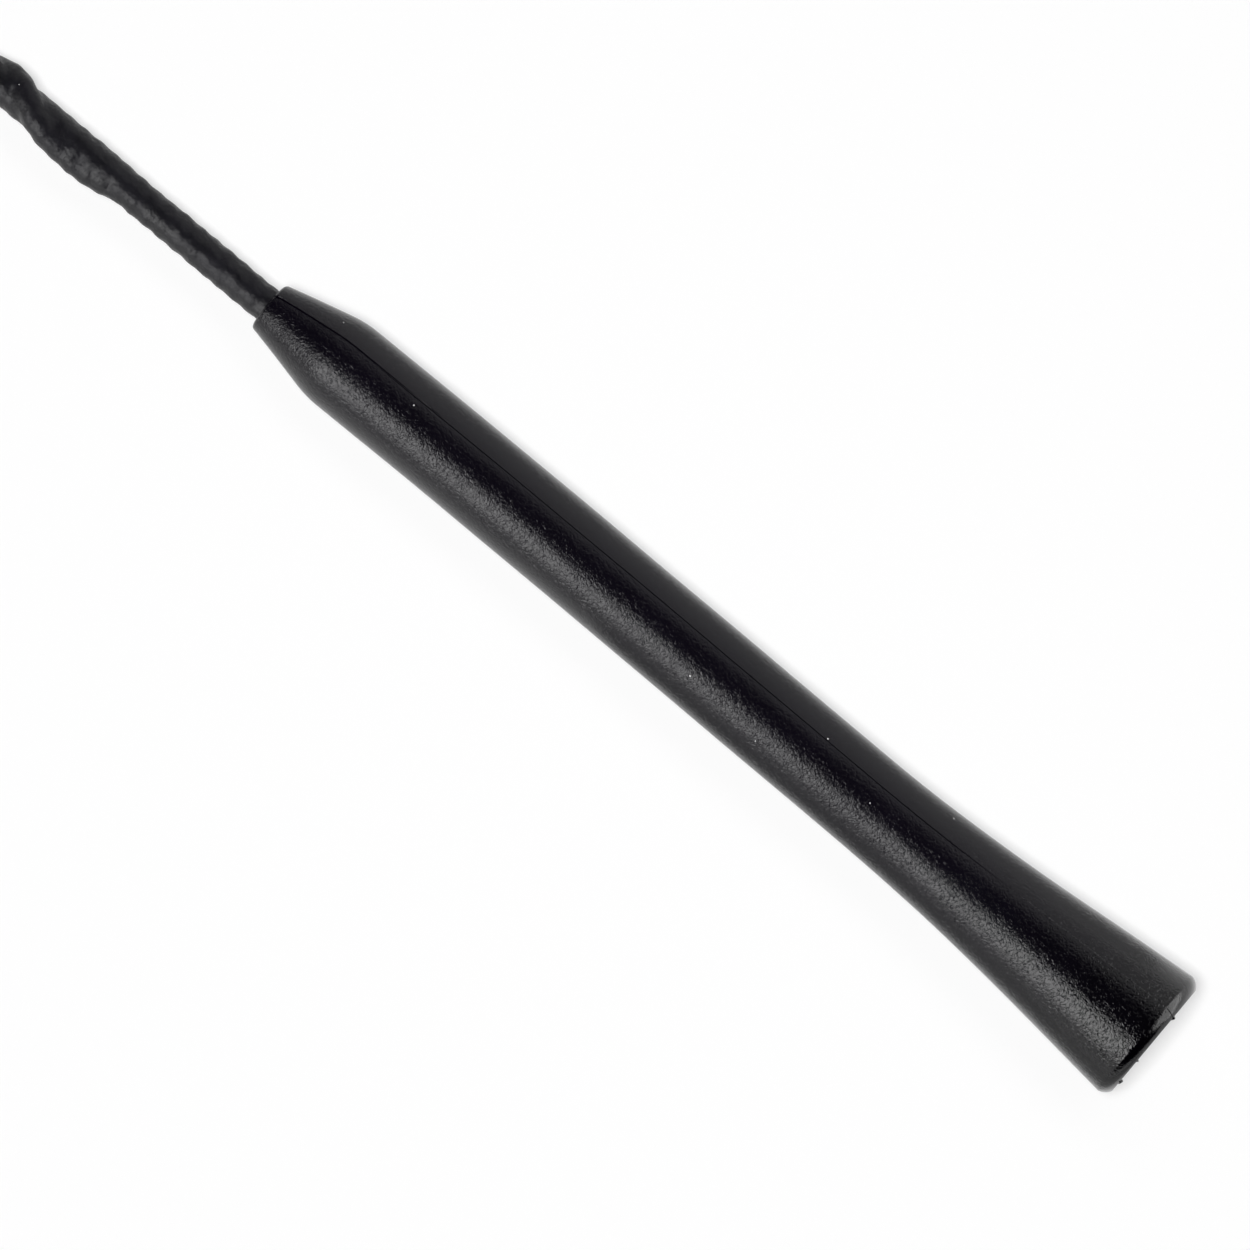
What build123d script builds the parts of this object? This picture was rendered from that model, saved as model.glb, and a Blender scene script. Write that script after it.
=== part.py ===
import os
from math import cos, radians, sin, tan

from build123d import *

# Sizes in millimetres. The mast lies along +X, with its foot at x = 0 and its tip at overall_length.

# Whole mast
overall_length = 330.0

# Boot: a flared foot, a long round grip and a tapered nose
boot_length = 125.8
foot_radius = 8.14
foot_round = 1.7
foot_cone_length = 14.0
foot_cone_angle = 5.6
flare_length = 41.0
grip_radius = 5.18
nose_radius = 2.87
nose_angle = 13.55
nose_chamfer = 0.3
shoulder_length = 3.2
nose_gap = 0.1

# Ferrule: a threaded socket in a stout head, and a neck crimped on the rod
ferrule_length = 40.0
head_length = 20.0
head_radius = 4.2
neck_radius = 2.9
socket_radius = 2.5
socket_depth = 13.0
rod_seat_depth = 20.0
crimp_depth = 10.0

# Rod: a fibreglass core, a layer of wire turns and a plain sleeve
core_radius = 1.25
wire_diameter = 0.3
sleeve_wall = 0.38

# Spiral rib: a blunt straight tail that eases into a steady right-hand turn
rib_height = 0.9
rib_base_width = 1.0
rib_shoulder_width = 0.8
rib_shoulder_rise = 0.6
rib_bond = 0.04
rib_lead_in = 20.7
rib_nose_length = 1.2
rib_nose_height = 0.5
rib_tail_length = 3.5
rib_start_angle = 0.0
rib_ease_length = 12.5
rib_pitch = 15.2
ease_steps = 8
guide_radius = 0.05

# Tip cap
cap_length = 10.0
cap_wall = 1.1
cap_end_wall = 3.0
cap_chamfer = 1.2

# Sizes that follow from these
winding_radius = core_radius + wire_diameter
sleeve_radius = winding_radius + sleeve_wall
cap_radius = sleeve_radius + cap_wall
cap_mouth = overall_length - cap_length
rod_end = overall_length - cap_end_wall
rod_start = ferrule_length - rod_seat_depth
winding_start = ferrule_length - crimp_depth
foot_cone_radius = foot_radius - foot_cone_length * tan(radians(foot_cone_angle))
nose_slope = tan(radians(nose_angle))
shoulder = boot_length - (grip_radius - nose_radius) / nose_slope
rib_start = boot_length + rib_lead_in
twist_start = rib_start + rib_tail_length
spiral_start = twist_start + rib_ease_length
twist_rate = 360.0 / rib_pitch
spiral_angle = rib_start_angle + twist_rate * rib_ease_length / 2


def rod_length(start, end, radius):
    """A plain round rod along the mast."""
    with BuildPart() as rod:
        with BuildSketch(Plane.YZ.offset(start)):
            Circle(radius)
        extrude(amount=end - start)
    return rod.part


def ferrule_blank():
    """The ferrule's outside, which is also the hollow that the boot is moulded around."""
    with BuildPart() as blank:
        with BuildSketch(Plane.XY):
            with BuildLine():
                Polyline(
                    (0, 0),
                    (0, head_radius),
                    (head_length, head_radius),
                    (head_length, neck_radius),
                    (ferrule_length, neck_radius),
                    (ferrule_length, 0),
                    close=True,
                )
            make_face()
        revolve(axis=Axis.X)
    return blank.part


def rib_plane(x, angle):
    """A plane across the mast, with its own x axis pointing at the rib's crest."""
    outward = (0, cos(radians(angle)), sin(radians(angle)))
    return Plane(origin=(x, 0, 0), x_dir=outward, z_dir=(1, 0, 0))


def rib_section(plane, height):
    """The rib cut across: a flat seat on the sleeve and a faceted round back."""
    seat_radius = sleeve_radius + rib_bond
    shoulder_radius = sleeve_radius + rib_shoulder_rise * height
    with BuildSketch(plane) as section:
        with BuildLine():
            Polyline(
                (seat_radius, -rib_base_width / 2),
                (shoulder_radius, -rib_shoulder_width / 2),
                (sleeve_radius + height, 0),
                (shoulder_radius, rib_shoulder_width / 2),
                (seat_radius, rib_base_width / 2),
                close=True,
            )
        make_face()
    return section.sketch


# Ferrule: the blank with its socket, its seat for the core and its crimp over the wire
with BuildPart() as base_ferrule:
    add(ferrule_blank())
    add(rod_length(0, socket_depth, socket_radius), mode=Mode.SUBTRACT)
    add(rod_length(rod_start, ferrule_length, core_radius), mode=Mode.SUBTRACT)
    add(rod_length(winding_start, ferrule_length, winding_radius), mode=Mode.SUBTRACT)
base_ferrule.part.label = "base_ferrule"

# Boot: one moulding, closed around the ferrule, with a bore for the rod
with BuildPart() as boot:
    with BuildSketch(Plane.XY):
        with BuildLine():
            Line((0, 0), (0, foot_radius))
            Line((0, foot_radius), (foot_cone_length, foot_cone_radius))
            Spline(
                (foot_cone_length, foot_cone_radius),
                (flare_length, grip_radius),
                tangents=[(1, -tan(radians(foot_cone_angle))), (1, 0)],
            )
            Line((flare_length, grip_radius), (shoulder - shoulder_length / 2, grip_radius))
            Bezier(
                (shoulder - shoulder_length / 2, grip_radius),
                (shoulder, grip_radius),
                (shoulder + shoulder_length / 2, grip_radius - nose_slope * shoulder_length / 2),
            )
            Polyline(
                (shoulder + shoulder_length / 2, grip_radius - nose_slope * shoulder_length / 2),
                (boot_length, nose_radius),
                (boot_length, 0),
                (0, 0),
            )
        make_face()
    revolve(axis=Axis.X)
    fillet(boot.edges().group_by(Axis.X)[0].sort_by(SortBy.RADIUS)[-1], foot_round)
    chamfer(boot.edges().group_by(Axis.X)[-1].sort_by(SortBy.RADIUS)[-1], nose_chamfer)
    add(ferrule_blank(), mode=Mode.SUBTRACT)
    add(rod_length(ferrule_length, boot_length, sleeve_radius + nose_gap), mode=Mode.SUBTRACT)
boot.part.label = "boot"

# Core rod
with BuildPart() as core_rod:
    add(rod_length(rod_start, rod_end, core_radius))
core_rod.part.label = "core_rod"

# Winding: the layer that the wire's turns fill on the core
with BuildPart() as winding:
    add(rod_length(winding_start, rod_end, winding_radius))
    add(rod_length(winding_start, rod_end, core_radius), mode=Mode.SUBTRACT)
winding.part.label = "winding"

# Sheath: the plain sleeve, from the ferrule to the end of the rod
with BuildPart() as sheath:
    add(rod_length(ferrule_length, rod_end, sleeve_radius))
    add(rod_length(ferrule_length, rod_end, winding_radius), mode=Mode.SUBTRACT)
sheath.part.label = "sheath"

# Spiral rib: a line close round the axis leads its turn, first eased and then steady
eased = []
for step in range(ease_steps + 1):
    share = step / ease_steps
    turn = twist_rate * rib_ease_length * (share**3 - share**4 / 2)
    angle = radians(rib_start_angle + turn)
    along = twist_start + rib_ease_length * share
    eased.append((along, guide_radius * cos(angle), guide_radius * sin(angle)))
with BuildLine() as rib_ease:
    Spline(*eased)
rib_turns = Helix(pitch=rib_pitch, height=cap_mouth - spiral_start, radius=guide_radius)
rib_guide = Wire([rib_ease.edge(), rib_plane(spiral_start, spiral_angle) * rib_turns])

tail_end = rib_section(rib_plane(twist_start, rib_start_angle), rib_height)
with BuildPart() as spiral_rib:
    tail_stations = [
        rib_section(rib_plane(rib_start, rib_start_angle), rib_height / 10),
        rib_section(rib_plane(rib_start + rib_nose_length, rib_start_angle), rib_nose_height),
        tail_end,
    ]
    loft(tail_stations)
    sweep(tail_end, path=Line((twist_start, 0, 0), (cap_mouth, 0, 0)), binormal=rib_guide)
spiral_rib.part.label = "spiral_rib"

# Tip cap: a blind cup with a bevelled end
with BuildPart() as tip_cap:
    add(rod_length(cap_mouth, overall_length, cap_radius))
    chamfer(tip_cap.edges().group_by(Axis.X)[-1], cap_chamfer)
    add(rod_length(cap_mouth, rod_end, sleeve_radius), mode=Mode.SUBTRACT)
tip_cap.part.label = "tip_cap"

os.makedirs("parts", exist_ok=True)
for piece in (boot, base_ferrule, core_rod, winding, sheath, spiral_rib, tip_cap):
    export_step(piece.part, f"parts/{piece.part.label}.step")
    print(piece.part.label, round(piece.part.volume, 1), "mm3")
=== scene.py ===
import math
import random

import bmesh
import bpy
from mathutils import Matrix, Vector


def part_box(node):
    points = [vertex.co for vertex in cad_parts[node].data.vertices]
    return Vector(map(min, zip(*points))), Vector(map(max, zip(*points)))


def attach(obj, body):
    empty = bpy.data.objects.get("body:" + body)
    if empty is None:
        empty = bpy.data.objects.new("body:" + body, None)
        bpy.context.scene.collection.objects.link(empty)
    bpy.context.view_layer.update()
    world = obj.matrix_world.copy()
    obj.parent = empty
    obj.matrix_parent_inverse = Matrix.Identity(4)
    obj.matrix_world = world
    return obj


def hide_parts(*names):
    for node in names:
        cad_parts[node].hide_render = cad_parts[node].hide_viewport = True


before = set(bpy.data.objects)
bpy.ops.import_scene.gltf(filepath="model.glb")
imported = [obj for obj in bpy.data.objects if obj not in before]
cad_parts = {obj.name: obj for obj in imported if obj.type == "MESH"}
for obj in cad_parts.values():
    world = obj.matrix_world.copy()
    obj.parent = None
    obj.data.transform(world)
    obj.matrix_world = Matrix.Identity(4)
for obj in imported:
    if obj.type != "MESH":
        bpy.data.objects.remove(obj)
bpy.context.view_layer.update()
mm = 0.001  # every size below is in millimetres, unless its note says otherwise
tau = math.tau
print("frame loaded:", ", ".join(sorted(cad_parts)))


# Node links, so that a sum of sockets reads as a plain sum
def maths(operation, swapped=False):
    def apply(self, other=0.0):
        terms = (other, self) if swapped else (self, other)
        return self.node("ShaderNodeMath", {"operation": operation}, dict(enumerate(terms)))
    return apply


class Link:
    def __init__(self, tree, socket=None):
        self.tree = tree
        self.socket = socket

    def node(self, kind, settings=None, values=None, take=0):
        made = self.tree.nodes.new(kind)
        for name, setting in (settings or {}).items():
            if name == "stops":
                ramp = made.color_ramp.elements
                while len(ramp) < len(setting):
                    ramp.new(0.5)
                for element, (place, colour) in zip(ramp, setting):
                    element.position = place
                    element.color = (*colour, 1)
            else:
                setattr(made, name, setting)
        for name, value in (values or {}).items():
            if isinstance(value, Link):
                self.tree.links.new(value.socket, made.inputs[name])
            else:
                made.inputs[name].default_value = value
        return Link(self.tree, made.outputs[take])

    __add__ = maths("ADD")
    __radd__ = maths("ADD", True)
    __sub__ = maths("SUBTRACT")
    __rsub__ = maths("SUBTRACT", True)
    __mul__ = maths("MULTIPLY")
    __rmul__ = maths("MULTIPLY", True)
    __truediv__ = maths("DIVIDE")
    __rtruediv__ = maths("DIVIDE", True)
    __pow__ = maths("POWER")
    __lt__ = maths("LESS_THAN")
    __gt__ = maths("GREATER_THAN")
    __abs__ = maths("ABSOLUTE")
    atLeast = maths("MAXIMUM")
    atMost = maths("MINIMUM")
    rounded = maths("ROUND")
    sine = maths("SINE")
    cosine = maths("COSINE")
    arccosine = maths("ARCCOSINE")
    arctangent2 = maths("ARCTAN2")
    squareRoot = maths("SQRT")


# Materials
def newMaterial(name):
    material = bpy.data.materials.new(name)
    material.use_nodes = True
    shader = material.node_tree.nodes["Principled BSDF"]
    net = Link(material.node_tree)
    coords = net.node("ShaderNodeTexCoord", take="Object")
    return material, shader, net, coords


def feed(net, shader, values):
    for name, value in values.items():
        if isinstance(value, Link):
            net.tree.links.new(value.socket, shader.inputs[name])
        else:
            shader.inputs[name].default_value = value


def noise(net, coords, size, detail=2.0, roughness=0.5, distortion=0.0):
    # size is the width of a feature in millimetres
    return net.node("ShaderNodeTexNoise", values={
        "Vector": coords, "Scale": 1 / (size * mm), "Detail": detail,
        "Roughness": roughness, "Distortion": distortion,
    })


def patches(net, coords, size, detail=3.0):
    # slow, cloudy changes over a surface
    return noise(net, coords, size, detail, roughness=0.6)


def varied(middle, patch, swing):
    return middle + (patch - 0.5) * swing


def part(net, vector, axis):
    return net.node("ShaderNodeSeparateXYZ", values={0: vector}, take=axis)


def tinted(net, amount, stops):
    return net.node("ShaderNodeValToRGB", {"stops": stops}, {0: amount})


def twoTone(dark, bright):
    # stops for a noise, which seldom leaves the middle of its range
    return [(0.3, dark), (0.7, bright)]


def nearBlack(tint):
    # stops for a tinted black that turns to plain grey as it gets lighter
    return [(0.0, (0, 0, 0)), (0.02, tint), (0.06, (0.06, 0.06, 0.06)), (1.0, (1, 1, 1))]


def raised(net, height):
    return net.node("ShaderNodeBump", values={"Strength": 1.0, "Distance": 1.0, "Height": height})  # in metres


dustEdge = {"size": 0.12, "depth": 0.05}  # how ragged a speck is, the depth as a share of its cell


def dust(net, coords, look):
    # a few pale specks: one small dot in some of the cells
    cells = {"Vector": coords, "Scale": 1 / (look["dustSpacing"] * mm)}
    distance = net.node("ShaderNodeTexVoronoi", values=cells, take="Distance")
    tint = net.node("ShaderNodeTexVoronoi", values=cells, take="Color")
    pick = net.node("ShaderNodeSeparateColor", values={0: tint})
    ragged = distance + noise(net, coords, dustEdge["size"]) * dustEdge["depth"] - dustEdge["depth"] / 2
    return (ragged < look["dustRadius"] / look["dustSpacing"]) * (pick < look["dustShare"])


bootLook = {
    "tint": (0.023, 0.014, 0.044), "black": 0.0017, "mottle": 0.001, "patchSize": 6.0,
    "roughness": 0.25, "roughnessSwing": 0.05,
    "footLength": 26.0, "footShine": 0.12, "footBlack": 0.0012,  # it gets shinier and darker towards the foot
    "grainSize": 0.45, "grainHeight": 0.054, "grainDetail": 1.5, "grainTwist": 0.9,
    "fineSize": 0.25, "fineHeight": 0.012, "fineDetail": 1.0,
    "edgeLength": 1.6, "edgeGrain": 0.15,  # the rounded edge of the foot is smoother
    "dustSpacing": 2.0, "dustRadius": 0.1, "dustShare": 0.12, "dustLevel": 0.7,
}


def bootPlastic():
    look = bootLook
    material, shader, net, coords = newMaterial("boot_plastic")
    x = part(net, coords, "X")
    foot = (1 - x / (look["footLength"] * mm)).atLeast(0)
    grained = (x / (look["edgeLength"] * mm)).atLeast(look["edgeGrain"]).atMost(1)
    grain = noise(net, coords, look["grainSize"], look["grainDetail"], distortion=look["grainTwist"])
    wrinkle = abs(grain * 2 - 1)
    fine = noise(net, coords, look["fineSize"], look["fineDetail"])
    height = ((1 - wrinkle) * (look["grainHeight"] * mm) + fine * (look["fineHeight"] * mm)) * grained
    patch = patches(net, coords, look["patchSize"])
    specks = dust(net, coords, look)
    black = varied(look["black"], patch, look["mottle"]) - foot * look["footBlack"]
    level = black.atLeast(0) + specks * look["dustLevel"]
    rough = varied(look["roughness"], patch, look["roughnessSwing"]) - foot * look["footShine"]
    colour = tinted(net, level, nearBlack(look["tint"]))
    feed(net, shader, {"Base Color": colour, "Roughness": rough, "Normal": raised(net, height)})
    return material


sleeveLook = {
    "tint": (0.018, 0.0165, 0.027), "black": 0.004, "mottle": 0.006, "patchSize": 2.4,
    "roughness": 0.45, "roughnessSwing": 0.3,
    "grainSize": 0.3, "grainHeight": 0.02, "lumpSize": 1.5, "lumpHeight": 0.24,
    "dustSpacing": 2.0, "dustRadius": 0.09, "dustShare": 0.3, "dustLevel": 0.6,
}


def sleeveFilm():
    look = sleeveLook
    material, shader, net, coords = newMaterial("sleeve_black")
    lumps = noise(net, coords, look["lumpSize"])
    fine = noise(net, coords, look["grainSize"])
    height = lumps * (look["lumpHeight"] * mm) + fine * (look["grainHeight"] * mm)
    patch = patches(net, coords, look["patchSize"])
    specks = dust(net, coords, look)
    level = varied(look["black"], patch, look["mottle"]) + specks * look["dustLevel"]
    colour = tinted(net, level, nearBlack(look["tint"]))
    rough = varied(look["roughness"], patch, look["roughnessSwing"])
    feed(net, shader, {"Base Color": colour, "Roughness": rough, "Normal": raised(net, height)})
    return material


nickelLook = {
    "dull": (0.42, 0.40, 0.36), "bright": (0.68, 0.66, 0.61), "roughness": 0.24, "roughnessSwing": 0.2,
    "patchSize": 1.6, "patchDetail": 4.0, "patchHeight": 0.006, "toolPitch": 0.16, "toolDepth": 0.004,
    # colour, share and radii of the painted shade in the thread's roots
    "paintedRootShade": (0.05, 0.045, 0.04), "rootShadeShare": 0.5, "rootShadeFrom": 2.6, "rootShadeTo": 3.0,
    "socketEnds": (0.6, 14.0), "socketRadius": 3.1,
}


def nickelPlate():
    look = nickelLook
    material, shader, net, coords = newMaterial("nickel_brass")
    x, y, z = (part(net, coords, axis) for axis in "XYZ")
    radius = (y * y + z * z).squareRoot()
    turned = ((x + radius) * (tau / (look["toolPitch"] * mm))).sine()  # marks of the lathe tool
    patch = patches(net, coords, look["patchSize"], look["patchDetail"])
    # painted shade: the roots of the thread are darkened, as if in shadow
    mouth, bottom = look["socketEnds"]
    inSocket = (x > mouth * mm) * (x < bottom * mm) * (radius < look["socketRadius"] * mm)
    roots = ((radius / mm - look["rootShadeFrom"]) / (look["rootShadeTo"] - look["rootShadeFrom"])).atLeast(0).atMost(1)
    # the patch tone with painted shade taken off in the socket's roots
    shadedPatch = patch - roots * inSocket * look["rootShadeShare"]
    colour = tinted(net, shadedPatch, [(0.0, look["paintedRootShade"]), *twoTone(look["dull"], look["bright"])])
    rough = varied(look["roughness"], patch, look["roughnessSwing"])
    height = turned * (look["toolDepth"] * mm / 2) + patch * (look["patchHeight"] * mm)
    feed(net, shader, {"Base Color": colour, "Roughness": rough, "Metallic": 1.0, "Normal": raised(net, height)})
    return material


glassLook = {
    "deep": (0.4, 0.4, 0.24), "pale": (0.62, 0.6, 0.42), "roughness": 0.3, "roughnessSwing": 0.2,
    "strandSize": 0.12, "strandLength": 40.0, "strandHeight": 0.012,
}


def fibreglass():
    look = glassLook
    material, shader, net, coords = newMaterial("fibreglass")
    stretch = (look["strandSize"] / look["strandLength"], 1.0, 1.0)
    along = net.node("ShaderNodeMapping", values={"Vector": coords, "Scale": stretch})
    strands = patches(net, along, look["strandSize"])
    colour = tinted(net, strands, twoTone(look["deep"], look["pale"]))
    rough = look["roughness"] + strands * look["roughnessSwing"]
    height = strands * (look["strandHeight"] * mm)
    feed(net, shader, {"Base Color": colour, "Roughness": rough, "Normal": raised(net, height)})
    return material


copperLook = {
    "dark": (0.36, 0.12, 0.05), "bright": (0.72, 0.3, 0.13), "patchSize": 1.2,
    "roughness": 0.18, "roughnessSwing": 0.2, "scratchSize": 0.08, "scratchHeight": 0.004,
}


def copperWire():
    look = copperLook
    material, shader, net, coords = newMaterial("copper_wire")
    patch = patches(net, coords, look["patchSize"])
    scratches = noise(net, coords, look["scratchSize"])
    colour = tinted(net, patch, twoTone(look["dark"], look["bright"]))
    rough = look["roughness"] + patch * look["roughnessSwing"]
    height = scratches * (look["scratchHeight"] * mm)
    feed(net, shader, {"Base Color": colour, "Roughness": rough, "Metallic": 1.0, "Normal": raised(net, height)})
    return material


capLook = {
    "tint": (0.018, 0.0165, 0.027), "black": 0.004, "mottle": 0.002, "patchSize": 3.0,
    "roughness": 0.36, "roughnessSwing": 0.12, "grainSize": 0.2, "grainHeight": 0.008,
}


def capPlastic():
    look = capLook
    material, shader, net, coords = newMaterial("cap_plastic")
    grain = noise(net, coords, look["grainSize"])
    patch = patches(net, coords, look["patchSize"])
    colour = tinted(net, varied(look["black"], patch, look["mottle"]), nearBlack(look["tint"]))
    rough = varied(look["roughness"], patch, look["roughnessSwing"])
    height = grain * (look["grainHeight"] * mm)
    feed(net, shader, {"Base Color": colour, "Roughness": rough, "Normal": raised(net, height)})
    return material


finishes = {
    "boot_plastic": bootPlastic(), "sleeve_black": sleeveFilm(), "nickel_brass": nickelPlate(),
    "fibreglass": fibreglass(), "copper_wire": copperWire(), "cap_plastic": capPlastic(),
}
print("finishes made:", ", ".join(finishes))

# Pieces: how a mesh is finished and given to the frame
weld = 1e-7  # in metres
sharpEdge = math.radians(35)
mastLine = (  # the boot is a little wavy, and the mast has taken a set at its nose: places along, and shifts
    (0.0, 0.05), (16.0, 0.03), (38.0, 0.11), (62.0, 0.02), (84.0, -0.055),
    (98.0, -0.03), (108.0, 0.045), (122.0, 0.24), (128.0, 0.4),
)


def smooth(value, low, high):
    share = min(max((value - low) / (high - low), 0.0), 1.0)
    return share * share * (3 - 2 * share)


def softCurve(t, start, end, slopeIn, slopeOut=0.0):
    first = 2 * t**3 - 3 * t**2 + 1
    return first * start + (1 - first) * end + (t**3 - 2 * t**2 + t) * slopeIn + (t**3 - t**2) * slopeOut


def mastShift(x):
    # a smooth line through the mast's knots, straight past its last one
    knots = mastLine
    if x <= knots[0][0]:
        return knots[0][1]
    if x >= knots[-1][0]:
        return knots[-1][1]
    i = max(k for k in range(len(knots) - 1) if knots[k][0] <= x)
    (x0, y0), (x1, y1) = knots[i], knots[i + 1]
    span = x1 - x0
    xBefore, yBefore = knots[max(i - 1, 0)]
    slopeIn = (y1 - yBefore) / (x1 - xBefore) * span
    slopeOut = 0.0
    if i + 2 < len(knots):
        xAfter, yAfter = knots[i + 2]
        slopeOut = (yAfter - y0) / (xAfter - x0) * span
    return softCurve((x - x0) / span, y0, y1, slopeIn, slopeOut)


def finishMesh(mesh):
    shape = bmesh.new()
    shape.from_mesh(mesh)
    for vert in shape.verts:
        vert.co.y += mastShift(vert.co.x / mm) * mm
    bmesh.ops.remove_doubles(shape, verts=shape.verts, dist=weld)
    bmesh.ops.recalc_face_normals(shape, faces=shape.faces)
    shape.to_mesh(mesh)
    shape.free()
    mesh.shade_smooth()
    mesh.set_sharp_from_angle(angle=sharpEdge)


def addPiece(name, mesh, slot, nodes=()):
    if not mesh.materials:
        mesh.materials.append(finishes[slot])
    finishMesh(mesh)
    piece = bpy.data.objects.new(name, mesh)
    bpy.context.scene.collection.objects.link(piece)
    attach(piece, "root")
    if nodes:
        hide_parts(*nodes)
    print(name, "made:", len(mesh.polygons), "faces")


# Turned shapes: an outline of (x, radius) points goes round the mast, and a dent may move each point
def turnedMesh(name, outline, angles, dent=None):
    points = []
    for x, radius in outline:
        for angle in angles:
            px, pr, pa = dent(x, radius, angle) if dent else (x, radius, angle)
            points.append((px * mm, pr * math.cos(pa) * mm, pr * math.sin(pa) * mm))
    columns = len(angles)
    faces = []
    for row in range(len(outline)):
        here = row * columns
        there = (row + 1) % len(outline) * columns
        for column in range(columns):
            after = (column + 1) % columns
            faces.append((here + column, here + after, there + after, there + column))
    mesh = bpy.data.meshes.new(name)
    mesh.from_pydata(points, [], faces)
    return mesh


def spaced(first, last, step):
    count = max(1, round(abs(last - first) / step))
    return [first + (last - first) * i / count for i in range(count)]


def roundedCorner(x, radius, bend, first, last, steps):
    # an arc about a centre, between two angles in degrees from the mast's direction
    turns = [math.radians(first + (last - first) * i / steps) for i in range(steps + 1)]
    return [(x + bend * math.cos(turn), radius + bend * math.sin(turn)) for turn in turns]


def evenAngles(columns):
    return [tau * i / columns for i in range(columns)]


def apart(angle, other):
    return abs((angle - other + 180) % 360 - 180)  # in degrees


# Boot
bootShape = {
    "length": 125.8, "rowStep": 0.5, "columns": 176,
    "footRadius": 8.18, "edgeLength": 1.25, "edgeTilts": (62.0, 11.0), "edgeSteps": 14, "creaseGap": 0.08,
    "coneLength": 14.0, "coneAngle": 5.6, "flareEnd": 41.0,
    "gripStart": 5.285, "gripEnd": 5.23, "gripStep": 0.75, "shoulderLength": 3.2, "shoulderStep": 0.25,
    "noseRadius": 2.96, "noseAngle": 13.55, "noseRound": 0.45, "lipSteps": 7,
    "boreRadius": 2.06, "boreEdge": 0.15, "boreStep": 6.0,
    "neckEnd": 40.0, "neckRadius": 2.9, "headEnd": 20.0, "headRadius": 4.2, "headEdge": 0.25,
    # seams: angles round the boot and columns to each side in degrees, then places along and depths
    "seamAngles": (116.0, 296.0), "seamColumns": (0.5, 0.6, 1.9, 2.1, 2.8, 3.6, 4.5), "seamClear": 0.5,
    "seamNarrow": 0.55, "seamWide": 2.0, "seamOpens": (102.0, 116.0),
    "seamTrace": 0.012, "seamDepth": 0.2, "seamDeepens": (18.0, 40.0), "seamEdge": 0.1, "seamEdgeEnds": (0.9, 1.5),
    "ridgeGrip": 0.008, "ridgeNose": 0.05, "ridgeFade": 12.0,
    "splitDepth": 0.5, "splitWidth": 4.0, "splitEnds": (0.9, 0.2),  # the ends are measured from the nose
    "waviness": 0.008, "waves": ((4.3, 2, 0.0), (2.9, -3, 1.3)),  # length, lobes and phase
    "wobbles": ((0.22, 9.1, 0.0), (0.12, 3.7, 1.0)),  # degrees to the side, length and phase
    # bits of moulding flash on the edge of the foot: place across it, and size
    "crumbs": ((-3.2, 0.3), (2.84, 0.34), (5.7, 0.3), (5.95, 0.22)),
    "crumbX": 0.1, "crumbRadius": 6.9, "crumbJitter": 0.45, "crumbSeed": 7,
}


def bootOutline():
    s = bootShape
    taper = math.radians(s["noseAngle"])
    coneSlope, noseSlope = math.tan(math.radians(s["coneAngle"])), math.tan(taper)
    # foot: a round with a clear edge at the end face and a faint crease at the cone
    steep, shallow = (math.radians(tilt) for tilt in s["edgeTilts"])
    bend = s["edgeLength"] / (math.sin(steep) - math.sin(shallow))
    bendRadius = s["footRadius"] - s["edgeLength"] * coneSlope - bend * math.cos(shallow)
    first, last = (90 + tilt for tilt in s["edgeTilts"])
    outer = roundedCorner(bend * math.sin(steep), bendRadius, bend, first, last, s["edgeSteps"])
    coneRows = spaced(s["edgeLength"] + s["creaseGap"], s["coneLength"], s["rowStep"])
    outer += [(x, s["footRadius"] - x * coneSlope) for x in coneRows]
    # flare: the cone's slope fades out into the grip
    span = s["flareEnd"] - s["coneLength"]
    coneEnd = s["footRadius"] - s["coneLength"] * coneSlope
    for x in spaced(s["coneLength"], s["flareEnd"], s["rowStep"]):
        t = (x - s["coneLength"]) / span
        outer.append((x, softCurve(t, coneEnd, s["gripStart"], -coneSlope * span)))
    # grip, shoulder and nose
    half = s["shoulderLength"] / 2
    shoulder = s["length"] - (s["gripEnd"] - s["noseRadius"]) / noseSlope
    gripDrop = (s["gripStart"] - s["gripEnd"]) / (shoulder - half - s["flareEnd"])
    for x in spaced(s["flareEnd"], shoulder - half, s["gripStep"]):
        outer.append((x, s["gripStart"] - (x - s["flareEnd"]) * gripDrop))
    for x in spaced(shoulder - half, shoulder + half, s["shoulderStep"]):
        t = (x - shoulder + half) / s["shoulderLength"]
        outer.append((x, s["gripEnd"] - noseSlope * half * t * t))
    lip = s["noseRound"]
    lipLength = lip * (1 - math.sin(taper))
    for x in spaced(shoulder + half, s["length"] - lipLength, s["rowStep"]):
        outer.append((x, s["noseRadius"] + (s["length"] - x) * noseSlope))
    lipRadius = s["noseRadius"] + lipLength * noseSlope - lip * math.cos(taper)
    outer += roundedCorner(s["length"] - lip, lipRadius, lip, 90 - s["noseAngle"], 0, s["lipSteps"])
    # hollow: the bore for the rod, then the room for the ferrule
    inner = [
        (s["length"], s["boreRadius"] + s["boreEdge"]),
        *((x, s["boreRadius"]) for x in spaced(s["length"] - s["boreEdge"], s["neckEnd"], s["boreStep"])),
        (s["neckEnd"], s["boreRadius"]), (s["neckEnd"], s["neckRadius"]), (s["headEnd"], s["neckRadius"]),
        (s["headEnd"], s["headRadius"]), (s["headEdge"], s["headRadius"]), (0.0, s["headRadius"] + s["headEdge"]),
    ]
    return outer + inner


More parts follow.
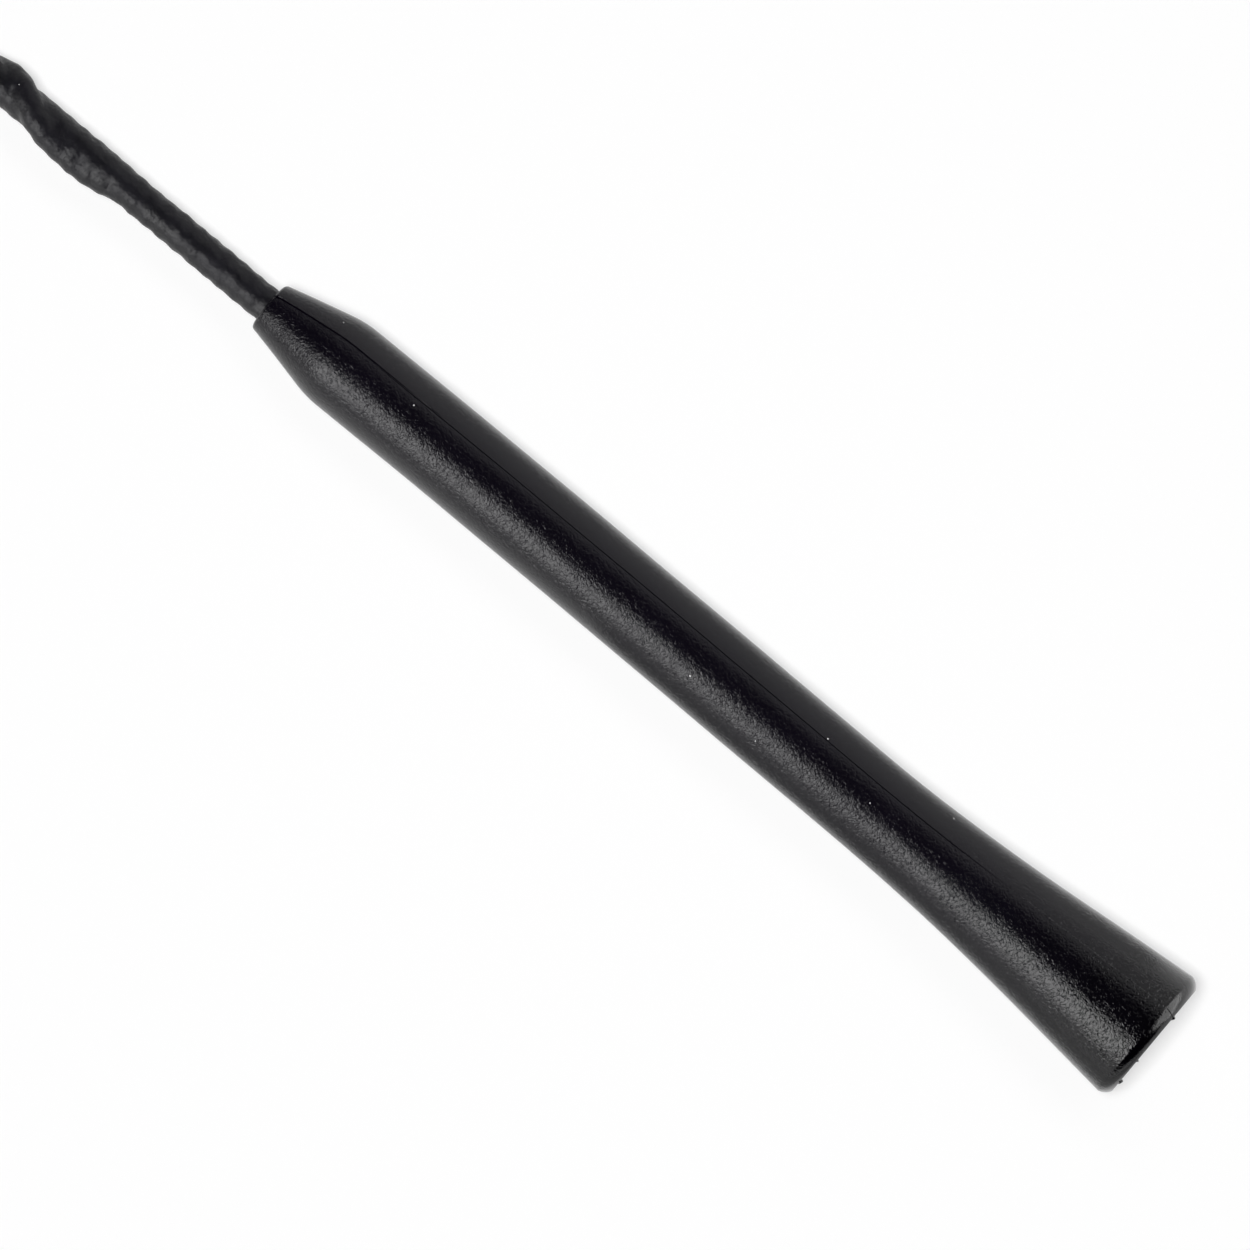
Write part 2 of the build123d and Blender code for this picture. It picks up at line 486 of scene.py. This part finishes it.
def bootDent(x, radius, angle):
    s = bootShape
    atFerrule = x < s["flareEnd"] and radius <= s["headRadius"] + s["headEdge"]
    if atFerrule or radius <= s["boreRadius"] + s["boreEdge"]:
        return x, radius, angle  # the hollow keeps its shape
    opened = smooth(x, *s["seamOpens"])  # the seam opens towards the nose
    atEdge = 1 - smooth(x, *s["seamEdgeEnds"])
    depth = s["seamTrace"] + s["seamEdge"] * atEdge + s["seamDepth"] * smooth(x, *s["seamDeepens"])
    ridge = s["ridgeGrip"] + (s["ridgeNose"] - s["ridgeGrip"]) * opened
    splitStart, splitEnd = (s["length"] - end for end in s["splitEnds"])
    split = s["splitDepth"] * smooth(x, splitStart, splitEnd)
    wave = sum(math.sin(x / length + lobes * angle + phase) for length, lobes, phase in s["waves"])
    moved = radius + s["waviness"] * wave
    for seam in s["seamAngles"]:
        off = apart(math.degrees(angle), seam)
        if off < s["seamNarrow"]:
            moved -= depth
        elif off < s["seamWide"]:
            moved -= depth * opened
        moved += ridge * math.exp(-off / s["ridgeFade"]) - split * (1 - smooth(off, 0, s["splitWidth"]))
    wobble = sum(turn * math.sin(x / length + phase) for turn, length, phase in s["wobbles"])
    return x, moved, angle + math.radians(wobble)


def bootAngles():
    s = bootShape
    angles = {round(360 * i / s["columns"], 4) for i in range(s["columns"])}
    near = max(s["seamColumns"]) + s["seamClear"]
    for seam in s["seamAngles"]:
        angles = {angle for angle in angles if apart(angle, seam) > near}
        angles |= {seam + side * offset for offset in s["seamColumns"] for side in (-1, 1)}
    return [math.radians(angle) for angle in sorted(angles)]


def addCrumbs(mesh):
    s = bootShape
    draw = random.Random(s["crumbSeed"])
    shape = bmesh.new()
    shape.from_mesh(mesh)
    for across, size in s["crumbs"]:
        place = Vector((s["crumbX"], across, math.sqrt(s["crumbRadius"] ** 2 - across**2))) * mm
        made = bmesh.ops.create_icosphere(shape, subdivisions=1, radius=size * mm, matrix=Matrix.Translation(place))
        for vert in made["verts"]:
            vert.co += Vector(draw.uniform(-s["crumbJitter"], s["crumbJitter"]) * size * mm for _ in range(3))
    shape.to_mesh(mesh)
    shape.free()


def makeBoot():
    mesh = turnedMesh("boot_moulding", bootOutline(), bootAngles(), bootDent)
    addCrumbs(mesh)
    addPiece("boot_moulding", mesh, "boot_plastic", ["boot"])


makeBoot()

# Ferrule
ferruleShape = {
    "headRadius": 4.2, "headLength": 20.0, "neckRadius": 2.9, "length": 40.0, "edge": 0.3,
    "threadRoot": 3.0, "threadDepth": 13.0, "drillPoint": 1.0, "mouthChamfer": 0.45,
    "coreRadius": 1.25, "coreSeat": 20.0, "crimpRadius": 1.55, "crimpStart": 30.0, "columns": 96,
}


def makeFerrule():
    s = ferruleShape
    e = s["edge"]
    shell = [
        (0.0, s["headRadius"] - e), (e, s["headRadius"]), (s["headLength"] - e, s["headRadius"]),
        (s["headLength"], s["headRadius"] - e), (s["headLength"], s["neckRadius"]),
        (s["length"] - e, s["neckRadius"]), (s["length"], s["neckRadius"] - e), (s["length"], s["crimpRadius"]),
        (s["crimpStart"], s["crimpRadius"]), (s["crimpStart"], s["coreRadius"]), (s["coreSeat"], s["coreRadius"]),
        (s["coreSeat"], 0.0), (s["threadDepth"] + s["drillPoint"], 0.0), (s["threadDepth"], s["threadRoot"]),
        (s["mouthChamfer"], s["threadRoot"]), (0.0, s["threadRoot"] + s["mouthChamfer"]),
    ]
    mesh = turnedMesh("ferrule", shell, evenAngles(s["columns"]))
    addPiece("ferrule", mesh, "nickel_brass", ["base_ferrule"])


makeFerrule()

# Tip cap
capShape = {
    "mouth": 320.0, "end": 330.0, "radius": 3.03, "bore": 2.1, "floor": 327.0,
    "round": 1.2, "roundSteps": 12, "lip": 0.25, "lipSteps": 6, "columns": 96,
}


def makeCap():
    s = capShape
    lip, bend = s["lip"], s["round"]
    outline = [(s["floor"], 0.0), (s["floor"], s["bore"])]
    outline += [(s["mouth"] + lip, s["bore"]), (s["mouth"], s["bore"] + lip)]
    outline += roundedCorner(s["mouth"] + lip, s["radius"] - lip, lip, 180, 90, s["lipSteps"])
    outline += roundedCorner(s["end"] - bend, s["radius"] - bend, bend, 90, 0, s["roundSteps"])
    outline.append((s["end"], 0.0))
    mesh = turnedMesh("end_cap", outline, evenAngles(s["columns"]))
    addPiece("end_cap", mesh, "cap_plastic", ["tip_cap"])


makeCap()


# Node trees for what follows a rule: each size of a shape becomes a named input, a whole number for a count
def newTree(name, shape):
    tree = bpy.data.node_groups.new(name, "GeometryNodeTree")
    tree.interface.new_socket("Geometry", in_out="OUTPUT", socket_type="NodeSocketGeometry")
    kinds = {label: "Int" if isinstance(size, int) else "Float" for label, size in shape.items()}
    kinds["material"] = "Material"
    for label, kind in kinds.items():
        tree.interface.new_socket(label, in_out="INPUT", socket_type="NodeSocket" + kind)
    entry = tree.nodes.new("NodeGroupInput")
    return tree, Link(tree), {label: Link(tree, entry.outputs[label]) for label in kinds}


def endTree(net, shape, material):
    single = net.node("GeometryNodeRealizeInstances", values={0: shape})
    dressed = net.node("GeometryNodeSetMaterial", values={"Geometry": single, "Material": material})
    leave = net.tree.nodes.new("NodeGroupOutput")
    net.tree.links.new(dressed.socket, leave.inputs[0])


def grown(name, tree, shape, slot):
    # runs a tree on an empty holder and keeps the result as a plain mesh
    holder = bpy.data.objects.new(name + "_holder", bpy.data.meshes.new(name + "_holder"))
    bpy.context.scene.collection.objects.link(holder)
    modifier = holder.modifiers.new("shape", "NODES")
    modifier.node_group = tree
    sizes = {**shape, "material": finishes[slot]}
    for item in tree.interface.items_tree:
        if item.in_out == "INPUT":
            modifier[item.identifier] = sizes[item.name]
    depsgraph = bpy.context.evaluated_depsgraph_get()
    mesh = bpy.data.meshes.new_from_object(holder.evaluated_get(depsgraph), depsgraph=depsgraph)
    holder.modifiers.clear()
    bpy.data.objects.remove(holder)
    mesh.name = name
    return mesh


# Sleeve: a shrunk film over the rod, the wire's turns and the cord that makes the rib
sleeveShape = {
    "start": 40.0, "fine start": 124.0, "end": 327.0, "radius": 1.98, "inner radius": 1.55,
    "coarse rows": 10, "fine rows": 1040, "columns": 72,
    "slack": 0.12, "tail rise": 0.82, "spiral rise": 0.7, "bulge radius": 1.8,
    "rib start": 146.3, "tail run": 6.0, "rib end": 319.9, "rib fade": 0.6,
    "twist start": 149.6, "ease length": 12.9, "pitch": 15.2, "start angle": 0.0,
    "wire pitch": 2.09, "wire print": 0.042, "lump size": 1.6, "lump height": 0.19,
}


def sleeveTree():
    tree, net, size = newTree("shrunk_sleeve", sleeveShape)
    last = size["coarse rows"] + size["fine rows"]  # the last row of the outside
    grid = net.node("GeometryNodeMeshGrid", values={
        "Size X": 1.0, "Size Y": 1.0, "Vertices X": last + 4, "Vertices Y": size["columns"] + 1,
    })
    place = net.node("GeometryNodeInputPosition")
    row = ((part(net, place, "X") + 0.5) * (last + 3)).rounded()
    angle = (part(net, place, "Y") + 0.5) * tau
    # rows run along the outside, then jump to the inside's end, the inside's start and the first row
    coarseStep = (size["fine start"] - size["start"]) / size["coarse rows"]
    fineStep = (size["end"] - size["fine start"]) / size["fine rows"]
    fineRow = (row.atMost(last) - size["coarse rows"]).atLeast(0)
    backAtStart = row > last + 1.5
    inside = (row > last + 0.5) * (row < last + 2.5)
    along = size["start"] + row.atMost(size["coarse rows"]) * coarseStep + fineRow * fineStep
    x = along + backAtStart * (size["start"] - along)
    # the cord: a straight tail, an eased turn and a steady spiral
    eased = ((x - size["twist start"]) / size["ease length"]).atLeast(0).atMost(1)
    steady = (x - size["twist start"] - size["ease length"]).atLeast(0)
    turn = size["ease length"] * (eased**3 - eased**4 / 2) + steady
    cordAngle = size["start angle"] + turn * tau / size["pitch"]
    begun = ((x - size["rib start"]) / size["tail run"]).atLeast(0).atMost(1)
    grownRise = begun * (2 - begun)
    fade = ((size["rib end"] - x) / size["rib fade"]).atLeast(0).atMost(1)
    rise = (size["tail rise"] + eased * (size["spiral rise"] - size["tail rise"])) * grownRise * fade
    # the film: a round bulge over the cord, drawn straight to the rod on both sides, with a little slack
    base = size["radius"] + size["slack"] * grownRise * fade
    offset = base + rise - size["bulge radius"]
    lean = ((base - size["bulge radius"]) / offset).atMost(1).arccosine()
    meets = (size["bulge radius"] * lean.sine()).arctangent2(offset + size["bulge radius"] * lean.cosine())
    away = (angle - cordAngle).cosine().atMost(1).atLeast(-1).arccosine()
    straight = base / (lean - away).atLeast(0).cosine()
    side = offset * away.sine()
    bulge = offset * away.cosine() + (size["bulge radius"] ** 2 - side * side).atLeast(0).squareRoot()
    film = straight + (away < meets) * (bulge - straight)
    # the wire's turns print through the film, and it shrinks unevenly
    wireMark = (x * tau / size["wire pitch"] - angle).cosine() * size["wire print"]
    skin = net.node("ShaderNodeCombineXYZ", values={0: x, 1: film * angle.cosine(), 2: film * angle.sine()})
    lumps = net.node("ShaderNodeTexNoise", values={"Vector": skin, "Scale": 1 / size["lump size"], "Detail": 1.0})
    outer = film + wireMark + (lumps - 0.5) * size["lump height"]
    radius = outer + inside * (size["inner radius"] - outer)
    spot = {0: x * mm, 1: radius * angle.cosine() * mm, 2: radius * angle.sine() * mm}
    moved = net.node("GeometryNodeSetPosition", values={
        "Geometry": grid, "Position": net.node("ShaderNodeCombineXYZ", values=spot),
    })
    closed = net.node("GeometryNodeMergeByDistance", values={"Geometry": moved, "Distance": 1e-6})  # in metres
    endTree(net, closed, size["material"])
    return tree


sleeveMesh = grown("shrunk_sleeve", sleeveTree(), sleeveShape, "sleeve_black")
addPiece("shrunk_sleeve", sleeveMesh, "sleeve_black", ["sheath", "spiral_rib"])

# Coils: the wire on the core, and the thread in the socket
windingShape = {
    "start": 30.2, "length": 296.6, "pitch": 2.09, "radius": 1.4, "thickness": 0.15, "sides": 7, "steps": 20,
}
threadShape = {
    "start": 0.55, "length": 12.2, "pitch": 1.0, "radius": 3.05, "thickness": 0.5, "sides": 8, "steps": 40,
}


def coilTree():
    tree, net, size = newTree("coil", windingShape)
    spiral = net.node("GeometryNodeCurveSpiral", values={
        "Resolution": size["steps"], "Rotations": size["length"] / size["pitch"], "Start Radius": size["radius"],
        "End Radius": size["radius"], "Height": size["length"],
    })
    upright = net.node("GeometryNodeSetCurveNormal", {"mode": "Z_UP"}, {"Curve": spiral})
    ring = net.node("GeometryNodeCurvePrimitiveCircle", values={
        "Resolution": size["sides"], "Radius": size["thickness"],
    })
    tube = net.node("GeometryNodeCurveToMesh", values={"Curve": upright, "Profile Curve": ring, "Fill Caps": True})
    place = net.node("GeometryNodeInputPosition")
    # the spiral stands on end, so its height becomes the way along the mast, in step with the sleeve's ripple
    x = part(net, place, "Z") + size["start"]
    lead = size["start"] * tau / size["pitch"]
    across, up = part(net, place, "X"), part(net, place, "Y")
    y = across * lead.cosine() - up * lead.sine()
    z = across * lead.sine() + up * lead.cosine()
    moved = net.node("GeometryNodeSetPosition", values={
        "Geometry": tube, "Position": net.node("ShaderNodeCombineXYZ", values={0: x * mm, 1: y * mm, 2: z * mm}),
    })
    endTree(net, moved, size["material"])
    return tree


coil = coilTree()
for name, shape, slot, nodes in (
    ("wire_winding", windingShape, "copper_wire", ["winding"]),
    ("socket_thread", threadShape, "nickel_brass", []),
):
    addPiece(name, grown(name, coil, shape, slot), slot, nodes)

# Core: a drawn fibreglass rod with broken edges
coreShape = {"start": 20.0, "end": 327.0, "radius": 1.25, "edge": 0.15, "rowStep": 6.0, "columns": 48}


def makeCore():
    s = coreShape
    first, last = s["start"] + s["edge"], s["end"] - s["edge"]
    outline = [(s["start"], 0.0), (s["start"], s["radius"] - s["edge"])]
    outline += [(x, s["radius"]) for x in spaced(first, last, s["rowStep"]) + [last]]
    outline += [(s["end"], s["radius"] - s["edge"]), (s["end"], 0.0)]
    mesh = turnedMesh("drawn_core", outline, evenAngles(s["columns"]))
    addPiece("drawn_core", mesh, "fibreglass", ["core_rod"])


makeCore()
print("pieces done")

# Camera: a long lens high above the foot, looking down on the mast
view = {
    "aim": (73.36, 2.2, 0.0), "frameWidth": 136.6, "distance": 1200.0, "offsetX": -73.4,
    "alongX": -0.76721, "alongUp": 0.64139,  # the mast's own direction in the picture, rightwards and upwards
    "sensor": 36.0, "clip": (10.0, 50000.0),
}


def placeCamera():
    aim = Vector(view["aim"])
    spot = aim + Vector((view["offsetX"], 0, view["distance"]))
    forward = (aim - spot).normalized()
    pictureUp = Vector((view["alongUp"], view["alongX"], 0))
    up = (pictureUp - forward * pictureUp.dot(forward)).normalized()
    right = forward.cross(up)
    turn = Matrix((right, up, -forward)).transposed().to_4x4()
    data = bpy.data.cameras.new("camera")
    data.sensor_width = view["sensor"]
    data.lens = view["sensor"] * (aim - spot).length / view["frameWidth"]
    data.clip_start, data.clip_end = (end * mm for end in view["clip"])
    camera = bpy.data.objects.new("camera", data)
    camera.matrix_world = Matrix.Translation(spot * mm) @ turn
    bpy.context.scene.collection.objects.link(camera)
    bpy.context.scene.camera = camera


placeCamera()
print("camera placed")

# Floor: it touches the foot and the tip, so it slopes a little against the mast
floorLook = {
    "contactX": 2.0, "footGap": 0.1,  # where the foot rests, and how far its skin stands out from the CAD foot
    "size": 8.0, "nearby": 0.25, "farAway": 0.8,  # in metres
    "white": 0.9, "roughness": 0.9, "glow": 0.55,
}
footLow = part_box("boot")[0].z / mm - floorLook["footGap"]
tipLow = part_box("tip_cap")[0].z / mm
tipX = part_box("tip_cap")[1].x / mm


def rayKinds(net):
    kinds = ("Is Camera Ray", "Is Glossy Ray", "Is Transmission Ray")
    return [net.node("ShaderNodeLightPath", take=kind) for kind in kinds]


def floorWhite():
    look = floorLook
    material, shader, net, coords = newMaterial("floor_white")
    white = (*[look["white"]] * 3, 1)
    feed(net, shader, {"Base Color": white, "Roughness": look["roughness"], "Specular IOR Level": 0.0})
    camera, glossy, through = rayKinds(net)
    seen = camera.atLeast(glossy).atLeast(through)
    # far from the mast the lamps fade, so the floor glows more
    x, y = part(net, coords, "X"), part(net, coords, "Y")
    span = look["farAway"] - look["nearby"]
    far = (((x * x + y * y).squareRoot() - look["nearby"]) / span).atLeast(0).atMost(1)
    share = look["glow"] + far * (1 - look["glow"])
    lit = Link(net.tree, shader.outputs[0])
    glow = net.node("ShaderNodeEmission", values={"Color": (1, 1, 1, 1), "Strength": 1.0})
    mixed = net.node("ShaderNodeMixShader", values={0: seen * share, 1: lit, 2: glow})
    net.tree.links.new(mixed.socket, net.tree.nodes["Material Output"].inputs["Surface"])
    return material


def makeFloor():
    slope = math.atan((tipLow - footLow) / (tipX - floorLook["contactX"]))
    half = floorLook["size"] / 2
    corners = [(-half, -half, 0), (half, -half, 0), (half, half, 0), (-half, half, 0)]
    mesh = bpy.data.meshes.new("floor")
    mesh.from_pydata(corners, [], [(0, 1, 2, 3)])
    mesh.materials.append(floorWhite())
    floor = bpy.data.objects.new("floor", mesh)
    floor.location = (floorLook["contactX"] * mm, 0, footLow * mm)
    floor.rotation_euler = (0, -slope, 0)
    bpy.context.scene.collection.objects.link(floor)


makeFloor()

# Lights: soft boxes turned to a point x on the mast, each with the brightness of its face
lamps = {
    "key": {
        "x": 320, "lean": 43.5, "side": 1, "distance": 900, "width": 570, "length": 520, "level": 4.8,
        "fill": False,
    },
    "skirt": {
        "x": 60, "lean": 73, "side": 1, "distance": 1000, "width": 440, "length": 1500, "level": 0.9,
        "fill": False,
    },
    "rim": {
        "x": 60, "lean": 61.5, "side": -1, "distance": 1000, "width": 910, "length": 1500, "level": 0.52,
        "fill": False,
    },
    "corner": {
        "x": 0, "lean": 69, "turn": 40, "side": -1, "distance": 62, "width": 64, "length": 66, "level": 2.4,
        "fill": False,
    },
    "end": {
        "x": 60, "lean": 58, "turn": 90, "side": 1, "distance": 1000, "width": 700, "length": 1200, "level": 0.5,
        "fill": False,
    },
    "top": {
        "x": 60, "lean": 3, "side": 1, "distance": 1400, "width": 260, "length": 260, "level": 93,
        "gloss": False,
    },
    "slope": {
        "x": 60, "lean": 27, "side": -1, "distance": 1000, "width": 300, "length": 1500, "level": 0.85,
        "gloss": False,
    },
}


def makeLamps():
    for name, lamp in lamps.items():
        lean, turn = math.radians(lamp["lean"]), math.radians(lamp.get("turn", 0))
        flat = math.sin(lean)
        away = Vector((-flat * math.sin(turn), lamp["side"] * flat * math.cos(turn), math.cos(lean)))
        along = Vector((0, 0, 1)).cross(away).normalized()
        data = bpy.data.lights.new(name, "AREA")
        data.shape = "RECTANGLE"
        data.size = lamp["length"] * mm
        data.size_y = lamp["width"] * mm
        data.energy = lamp["level"] * math.pi * data.size * data.size_y
        lampObject = bpy.data.objects.new(name, data)
        axes = Matrix((along, away.cross(along), away)).transposed().to_4x4()
        spot = Vector((lamp["x"], 0, 0)) + away * lamp["distance"]
        lampObject.matrix_world = Matrix.Translation(spot * mm) @ axes
        lampObject.visible_camera = False
        lampObject.visible_glossy = lamp.get("gloss", True)
        lampObject.visible_diffuse = lamp.get("fill", True)
        bpy.context.scene.collection.objects.link(lampObject)


makeLamps()

# Cards, seen only in reflections: a black one beyond the foot is painted shade, standing in for the floor's shadow
# seen in the foot's rounded edge, and a grey one on each side of the mast is a painted reflection of a dimmer,
# shaded floor
cards = {
    # painted shade: black sheet for the shaded floor by the foot; grey sheets for a dimmer floor beside the mast
    "foot_shade_card": {"from": (-15.0, -3.0), "to": (-15.0, 260.0), "bottom": 7.5, "top": 300.0, "level": 0.0},
    "right_card": {"from": (6.0, -15.0), "to": (420.0, -15.0), "bottom": -12.0, "top": 3.5, "level": 0.55},
    "left_card": {"from": (-60.0, 15.0), "to": (76.0, 15.0), "bottom": -12.0, "top": 3.5, "level": 0.5},
}


def makeCards():
    for name, card in cards.items():
        (x0, y0), (x1, y1), low, top = card["from"], card["to"], card["bottom"], card["top"]
        corners = [(x0, y0, low), (x1, y1, low), (x1, y1, top), (x0, y0, top)]
        mesh = bpy.data.meshes.new(name)
        mesh.from_pydata([[value * mm for value in corner] for corner in corners], [], [(0, 1, 2, 3)])
        material, shader, net, _ = newMaterial(name)
        grey = (*[card["level"]] * 3, 1)
        feed(net, shader, {
            "Base Color": (0, 0, 0, 1), "Specular IOR Level": 0.0, "Emission Color": grey, "Emission Strength": 1.0,
        })
        mesh.materials.append(material)
        board = bpy.data.objects.new(name, mesh)
        board.visible_camera = board.visible_diffuse = board.visible_shadow = False
        bpy.context.scene.collection.objects.link(board)


makeCards()

# World: a dim room with a low white sweep round it, and white all over to the camera
roomLook = {"level": 0.02, "sweepTop": 0.07, "sweepFade": 0.04}


def makeWorld():
    world = bpy.data.worlds.new("room")
    bpy.context.scene.world = world
    world.use_nodes = True
    net = Link(world.node_tree)
    camera, glossy, through = rayKinds(net)
    up = part(net, net.node("ShaderNodeTexCoord", take="Generated"), "Z")
    sweep = ((roomLook["sweepTop"] - up) / roomLook["sweepFade"]).atLeast(0).atMost(1)
    seen = camera.atLeast(glossy.atLeast(through) * sweep)
    strength = roomLook["level"] + seen * (1 - roomLook["level"])
    background = world.node_tree.nodes["Background"]
    background.inputs["Color"].default_value = (1, 1, 1, 1)
    world.node_tree.links.new(strength.socket, background.inputs["Strength"])


makeWorld()
bpy.context.scene.view_settings.view_transform = "Standard"
print("floor, lamps and room made")
